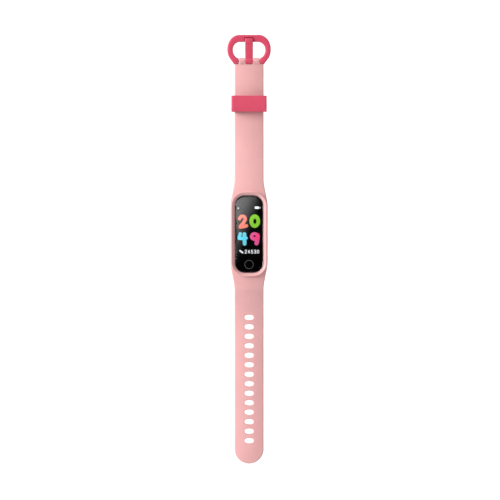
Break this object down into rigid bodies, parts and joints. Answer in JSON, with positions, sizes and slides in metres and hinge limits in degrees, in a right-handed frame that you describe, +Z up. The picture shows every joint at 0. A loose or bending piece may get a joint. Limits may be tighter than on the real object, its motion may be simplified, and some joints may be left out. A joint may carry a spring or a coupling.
{
  "type": "fitness tracker band",
  "caption": "Slim silicone fitness tracker band with a removable touch-screen capsule, adjustment holes, sliding keeper and pin buckle.",
  "frame": {"origin": "centre of the sensor window's outer face, on the surface that the open band rests on", "axes": "+Z is up, out of the screen; +Y runs along the band towards the buckle; +X is to the right"},
  "size_m": [0.0196, 0.1928, 0.0104],
  "materials": {
    "silicone": "soft matte light-pink silicone",
    "keeper_rubber": "matte hot-pink silicone",
    "buckle_plastic": "satin hot-pink moulded plastic",
    "steel": "plain stainless steel",
    "case_plastic": "fine-textured black plastic",
    "seal_rubber": "black rubber",
    "cover_glass": "glossy black-backed cover glass",
    "black_adhesive": "black adhesive tape",
    "screen": "dark liquid-crystal panel",
    "backlight_white": "white light guide and frame",
    "ribbon_film": "amber polyimide ribbon",
    "chip_black": "moulded chip epoxy",
    "touch_film": "grey conductive film",
    "grey_foam": "soft grey foam",
    "circuit_board": "green circuit board",
    "antenna_ceramic": "white ceramic",
    "led_green": "green light-emitting diodes",
    "sensor_dark": "dark photodiode",
    "sensor_lens": "smoked clear plastic window",
    "battery_foil": "aluminium pouch foil",
    "lead_red": "insulated wire",
    "brass_weight": "dense sintered weight",
    "gold_contact": "gilded contact"
  },
  "bodies": {
    "cradle": {"band_cradle": "silicone"},
    "capsule": {"upper_case": "case_plastic", "lower_case": "case_plastic", "case_seal": "seal_rubber", "case_screws": "steel", "cover_glass": "cover_glass", "glass_adhesive": "black_adhesive", "lcd_panel": "screen", "backlight_unit": "backlight_white", "display_ribbon": "ribbon_film", "display_socket": "chip_black", "touch_pad": "touch_film", "touch_foam": "grey_foam", "main_board": "circuit_board", "processor_chip": "chip_black", "memory_chip": "chip_black", "motion_sensor_chip": "chip_black", "crystal": "steel", "charger_chip": "chip_black", "chip_antenna": "antenna_ceramic", "sensor_board": "circuit_board", "pulse_leds": "led_green", "light_sensor": "sensor_dark", "light_barrier": "seal_rubber", "sensor_window": "sensor_lens", "battery": "battery_foil", "battery_foam": "grey_foam", "battery_tape": "black_adhesive", "battery_leads": "lead_red", "motor_can": "steel", "charging_contacts": "gold_contact"},
    "motor_rotor": {"motor_rotor": "brass_weight"},
    "buckle_strap_1": {"buckle_strap_link_1": "silicone"},
    "buckle_strap_2": {"buckle_strap_link_2": "silicone"},
    "buckle_strap_3": {"buckle_strap_link_3": "silicone"},
    "buckle_strap_4": {"buckle_strap_link_4": "silicone"},
    "tail_strap_1": {"tail_strap_link_1": "silicone"},
    "tail_strap_2": {"tail_strap_link_2": "silicone"},
    "tail_strap_3": {"tail_strap_link_3": "silicone"},
    "tail_strap_4": {"tail_strap_link_4": "silicone"},
    "tail_strap_5": {"tail_strap_link_5": "silicone"},
    "tail_strap_6": {"tail_strap_link_6": "silicone"},
    "tail_strap_7": {"tail_strap_link_7": "silicone"},
    "tail_strap_8": {"tail_strap_link_8": "silicone"},
    "tail_strap_9": {"tail_strap_link_9": "silicone"},
    "keeper": {"keeper_loop": "keeper_rubber"},
    "buckle": {"buckle_frame": "buckle_plastic", "buckle_pin": "steel"},
    "tongue": {"buckle_tongue": "buckle_plastic"}
  },
  "joints": [
    {"name": "buckle_strap_bend_1", "type": "hinge", "parent": "cradle", "child": "buckle_strap_1", "pos_m": [0, 0.02674, 0.00347], "axis": [-1, 0, 0], "range_deg": [0, 42], "stiffness_Nm_per_rad": 0.001},
    {"name": "buckle_strap_bend_2", "type": "hinge", "parent": "buckle_strap_1", "child": "buckle_strap_2", "pos_m": [0, 0.03527, 0.00183], "axis": [-1, 0, 0], "range_deg": [0, 38.01], "stiffness_Nm_per_rad": 0.001},
    {"name": "buckle_strap_bend_3", "type": "hinge", "parent": "buckle_strap_2", "child": "buckle_strap_3", "pos_m": [0, 0.0438, 0.001], "axis": [-1, 0, 0], "range_deg": [0, 34.01], "stiffness_Nm_per_rad": 0.001},
    {"name": "buckle_strap_bend_4", "type": "hinge", "parent": "buckle_strap_3", "child": "buckle_strap_4", "pos_m": [0, 0.05233, 0.001], "axis": [-1, 0, 0], "range_deg": [0, 30.01], "stiffness_Nm_per_rad": 0.001},
    {"name": "tail_strap_bend_1", "type": "hinge", "parent": "cradle", "child": "tail_strap_1", "pos_m": [0, -0.02674, 0.00332], "axis": [1, 0, 0], "range_deg": [0, 34], "stiffness_Nm_per_rad": 0.001},
    {"name": "tail_strap_bend_2", "type": "hinge", "parent": "tail_strap_1", "child": "tail_strap_2", "pos_m": [0, -0.03527, 0.00111], "axis": [1, 0, 0], "range_deg": [0, 26.01], "stiffness_Nm_per_rad": 0.001},
    {"name": "tail_strap_bend_3", "type": "hinge", "parent": "tail_strap_2", "child": "tail_strap_3", "pos_m": [0, -0.0438, 0], "axis": [1, 0, 0], "range_deg": [0, 20.01], "stiffness_Nm_per_rad": 0.001},
    {"name": "tail_strap_bend_4", "type": "hinge", "parent": "tail_strap_3", "child": "tail_strap_4", "pos_m": [0, -0.05233, 0], "axis": [1, 0, 0], "range_deg": [0, 17.01], "stiffness_Nm_per_rad": 0.001},
    {"name": "tail_strap_bend_5", "type": "hinge", "parent": "tail_strap_4", "child": "tail_strap_5", "pos_m": [0, -0.06086, 0], "axis": [1, 0, 0], "range_deg": [0, 16.01], "stiffness_Nm_per_rad": 0.001},
    {"name": "tail_strap_bend_6", "type": "hinge", "parent": "tail_strap_5", "child": "tail_strap_6", "pos_m": [0, -0.06939, 0], "axis": [1, 0, 0], "range_deg": [0, 17.01], "stiffness_Nm_per_rad": 0.001},
    {"name": "tail_strap_bend_7", "type": "hinge", "parent": "tail_strap_6", "child": "tail_strap_7", "pos_m": [0, -0.07792, 0], "axis": [1, 0, 0], "range_deg": [0, 20.01], "stiffness_Nm_per_rad": 0.001},
    {"name": "tail_strap_bend_8", "type": "hinge", "parent": "tail_strap_7", "child": "tail_strap_8", "pos_m": [0, -0.08645, 0], "axis": [1, 0, 0], "range_deg": [0, 24.01], "stiffness_Nm_per_rad": 0.001},
    {"name": "tail_strap_bend_9", "type": "hinge", "parent": "tail_strap_8", "child": "tail_strap_9", "pos_m": [0, -0.09498, 0], "axis": [1, 0, 0], "range_deg": [0, 22.01], "stiffness_Nm_per_rad": 0.001},
    {"name": "keeper_slide", "type": "slide", "parent": "buckle_strap_4", "child": "keeper", "axis": [0, 1, 0], "range_m": [-0.002, 0.009]},
    {"name": "buckle_turn", "type": "hinge", "parent": "buckle_strap_4", "child": "buckle", "pos_m": [0, 0.0778, 0.002], "axis": [1, 0, 0], "range_deg": [-60, 40]},
    {"name": "tongue_lift", "type": "hinge", "parent": "buckle", "child": "tongue", "pos_m": [0, 0.0778, 0.002], "axis": [1, 0, 0], "range_deg": [0, 70]},
    {"name": "capsule_release", "type": "slide", "parent": "cradle", "child": "capsule", "axis": [0, 0, -1], "range_m": [0, 0.012]},
    {"name": "motor_spin", "type": "hinge", "parent": "capsule", "child": "motor_rotor", "pos_m": [0, -0.0081, 0.00355], "axis": [0, 0, 1], "continuous": true}
  ],
  "couplings": [
    {"joint": "buckle_strap_bend_2", "follows": "buckle_strap_bend_1", "ratio": 0.9048},
    {"joint": "buckle_strap_bend_3", "follows": "buckle_strap_bend_1", "ratio": 0.8095},
    {"joint": "buckle_strap_bend_4", "follows": "buckle_strap_bend_1", "ratio": 0.7143},
    {"joint": "tail_strap_bend_2", "follows": "tail_strap_bend_1", "ratio": 0.7647},
    {"joint": "tail_strap_bend_3", "follows": "tail_strap_bend_1", "ratio": 0.5882},
    {"joint": "tail_strap_bend_4", "follows": "tail_strap_bend_1", "ratio": 0.5},
    {"joint": "tail_strap_bend_5", "follows": "tail_strap_bend_1", "ratio": 0.4706},
    {"joint": "tail_strap_bend_6", "follows": "tail_strap_bend_1", "ratio": 0.5},
    {"joint": "tail_strap_bend_7", "follows": "tail_strap_bend_1", "ratio": 0.5882},
    {"joint": "tail_strap_bend_8", "follows": "tail_strap_bend_1", "ratio": 0.7059},
    {"joint": "tail_strap_bend_9", "follows": "tail_strap_bend_1", "ratio": 0.6471}
  ]
}
